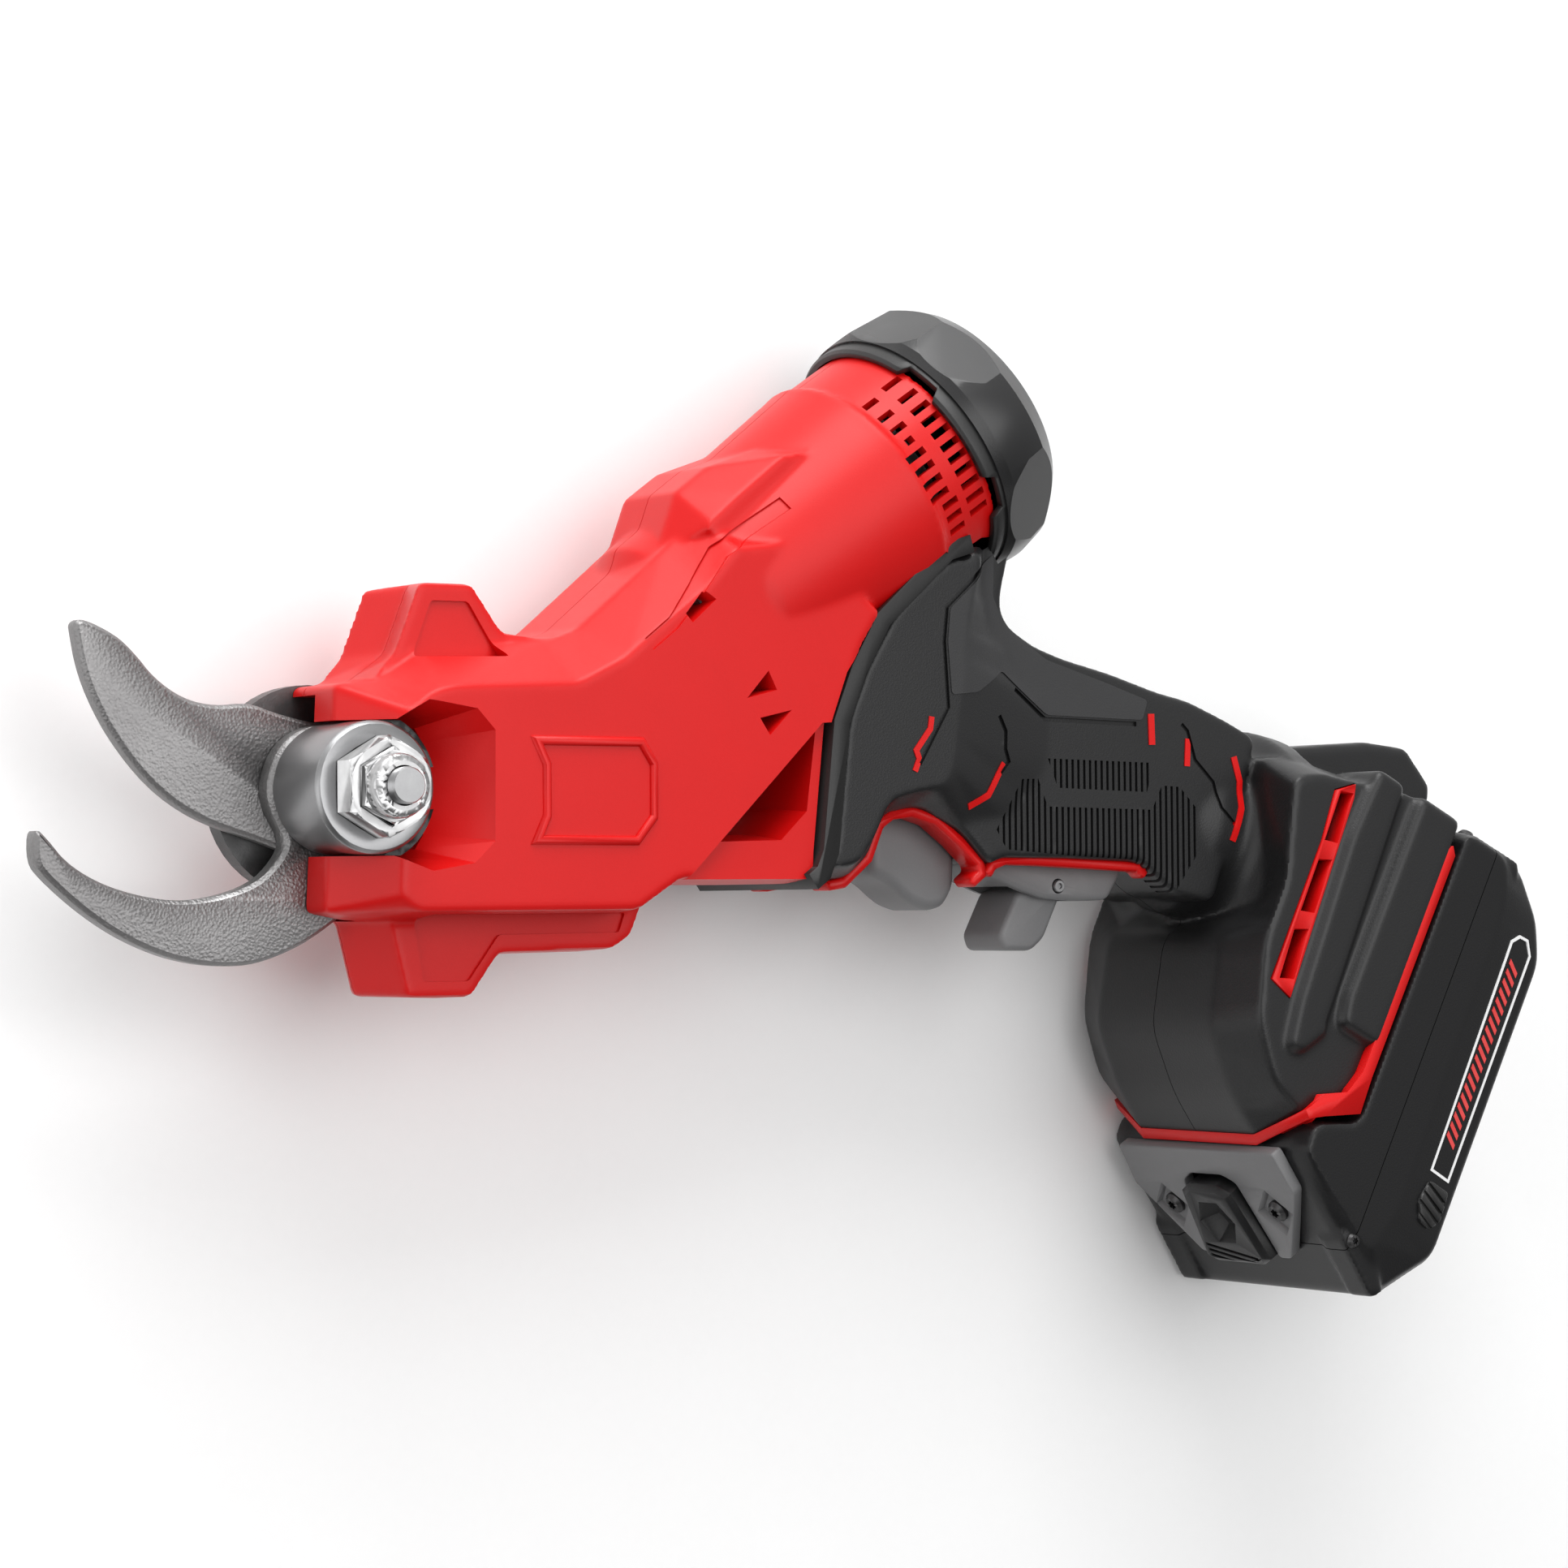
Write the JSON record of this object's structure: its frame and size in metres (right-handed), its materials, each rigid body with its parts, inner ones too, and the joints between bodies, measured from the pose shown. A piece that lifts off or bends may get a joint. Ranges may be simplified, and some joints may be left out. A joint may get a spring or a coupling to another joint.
{
  "type": "battery pruner",
  "caption": "Cordless pistol-grip pruning shear with a hooked fixed blade, a curved moving blade, an angled motor barrel, a safety paddle and a slide-on battery.",
  "frame": {"origin": "under the middle of the tool's box, on the surface that it lies on", "axes": "+X from the blades back to the battery, +Y from the trigger side to the top of the tool, +Z out of the tool's left side, which faces up"},
  "size_m": [0.3904, 0.2358, 0.0785],
  "materials": {
    "red_plastic": "satin moulded plastic with a fine texture",
    "black_plastic": "matte moulded plastic",
    "grip_rubber": "soft matte overmould",
    "grey_plastic": "matte moulded plastic",
    "blasted_steel": "bead-blasted",
    "satin_steel": "satin, turned",
    "dark_steel": "phosphated",
    "bronze": "as cast",
    "cast_alloy": "as cast",
    "circuit_board": "solder mask",
    "cell_wrap": "shrink wrap"
  },
  "bodies": {
    "frame": {"fixed_blade": "blasted_steel", "pivot_bush": "bronze", "pivot_bolt": "satin_steel", "thrust_washer": "satin_steel", "pivot_sleeve": "satin_steel", "hex_collar": "satin_steel", "lock_nut": "satin_steel", "pinion_bearing_left": "satin_steel", "pinion_bearing_right": "satin_steel", "shaft_bearing_front": "satin_steel", "shaft_bearing_rear": "satin_steel", "gearbox_case": "cast_alloy", "ring_gear": "dark_steel", "motor_can": "dark_steel", "motor_bearing": "satin_steel", "motor_end_cap": "black_plastic", "housing_left": "red_plastic", "housing_right": "red_plastic", "handle_left": "grip_rubber", "handle_right": "grip_rubber", "vent_insert_left": "red_plastic", "vent_insert_right": "red_plastic", "switch_module": "black_plastic", "control_board": "circuit_board", "terminal_block": "black_plastic", "foot_gasket": "red_plastic", "housing_screw_1": "dark_steel", "housing_screw_2": "dark_steel", "housing_screw_3": "dark_steel", "housing_screw_4": "dark_steel"},
    "blade": {"moving_blade": "blasted_steel", "sector_gear": "dark_steel"},
    "drive_pinion": {"drive_pinion": "dark_steel", "crown_gear": "bronze"},
    "carrier": {"crown_pinion": "dark_steel", "planet_carrier": "dark_steel"},
    "planet_1": {"planet_gear_1": "dark_steel"},
    "planet_2": {"planet_gear_2": "dark_steel"},
    "planet_3": {"planet_gear_3": "dark_steel"},
    "rotor": {"motor_rotor": "dark_steel", "sun_gear": "dark_steel", "cooling_fan": "black_plastic"},
    "trigger": {"trigger": "grey_plastic"},
    "paddle": {"paddle": "grey_plastic", "tab_pin": "satin_steel"},
    "flip_tab": {"flip_tab": "grey_plastic"},
    "battery": {"battery_upper_case": "black_plastic", "battery_lower_case": "black_plastic", "cell_1": "cell_wrap", "cell_2": "cell_wrap", "cell_3": "cell_wrap", "cell_4": "cell_wrap", "cell_5": "cell_wrap", "pack_board": "circuit_board", "latch_plate": "grey_plastic", "latch_screw_left": "dark_steel", "latch_screw_right": "dark_steel", "pack_screw_left": "dark_steel", "pack_screw_right": "dark_steel"},
    "release_button": {"release_button": "black_plastic"}
  },
  "joints": [
    {"name": "blade_cut", "type": "hinge", "parent": "frame", "child": "blade", "pos_m": [-0.12683, 0.00465, 0.0355], "axis": [0, 0, 1], "range_deg": [0, 42]},
    {"name": "pinion_spin", "type": "hinge", "parent": "frame", "child": "drive_pinion", "pos_m": [-0.09083, 0.00465, 0.038], "axis": [0, 0, 1], "range_deg": [-130, 2]},
    {"name": "carrier_spin", "type": "hinge", "parent": "frame", "child": "carrier", "pos_m": [-0.05748, 0.02672, 0.038], "axis": [0.8339, 0.5519, 0], "range_deg": [-5, 290]},
    {"name": "planet_1_spin", "type": "hinge", "parent": "carrier", "child": "planet_1", "pos_m": [-0.03413, 0.04218, 0.026], "axis": [0.8339, 0.5519, 0], "range_deg": [-770, 10]},
    {"name": "planet_2_spin", "type": "hinge", "parent": "carrier", "child": "planet_2", "pos_m": [-0.03987, 0.05084, 0.044], "axis": [0.8339, 0.5519, 0], "range_deg": [-770, 10]},
    {"name": "planet_3_spin", "type": "hinge", "parent": "carrier", "child": "planet_3", "pos_m": [-0.02839, 0.03351, 0.044], "axis": [0.8339, 0.5519, 0], "range_deg": [-770, 10]},
    {"name": "rotor_spin", "type": "hinge", "parent": "frame", "child": "rotor", "pos_m": [-0.00745, 0.05984, 0.038], "axis": [0.8339, 0.5519, 0], "range_deg": [-10, 1430]},
    {"name": "trigger_pull", "type": "slide", "parent": "frame", "child": "trigger", "axis": [0, 1, 0], "range_m": [0, 0.005], "stiffness_N_per_m": 400},
    {"name": "paddle_squeeze", "type": "hinge", "parent": "frame", "child": "paddle", "pos_m": [0.04217, -0.00885, 0.038], "axis": [0, 0, 1], "range_deg": [0, 4.5], "stiffness_Nm_per_rad": 0.4},
    {"name": "tab_flip", "type": "hinge", "parent": "paddle", "child": "flip_tab", "pos_m": [0.06377, -0.01695, 0.038], "axis": [0, 0, 1], "range_deg": [0, 40]},
    {"name": "battery_slide", "type": "slide", "parent": "frame", "child": "battery", "axis": [-0.454, -0.891, 0], "range_m": [0, 0.085]},
    {"name": "button_press", "type": "slide", "parent": "battery", "child": "release_button", "axis": [0.8492, 0.5281, 0], "range_m": [0, 0.0025], "stiffness_N_per_m": 700}
  ],
  "couplings": [
    {"joint": "pinion_spin", "follows": "blade_cut", "ratio": -3},
    {"joint": "carrier_spin", "follows": "blade_cut", "ratio": 6.75},
    {"joint": "rotor_spin", "follows": "blade_cut", "ratio": 33.75},
    {"joint": "planet_1_spin", "follows": "blade_cut", "ratio": -18},
    {"joint": "planet_2_spin", "follows": "blade_cut", "ratio": -18},
    {"joint": "planet_3_spin", "follows": "blade_cut", "ratio": -18}
  ]
}
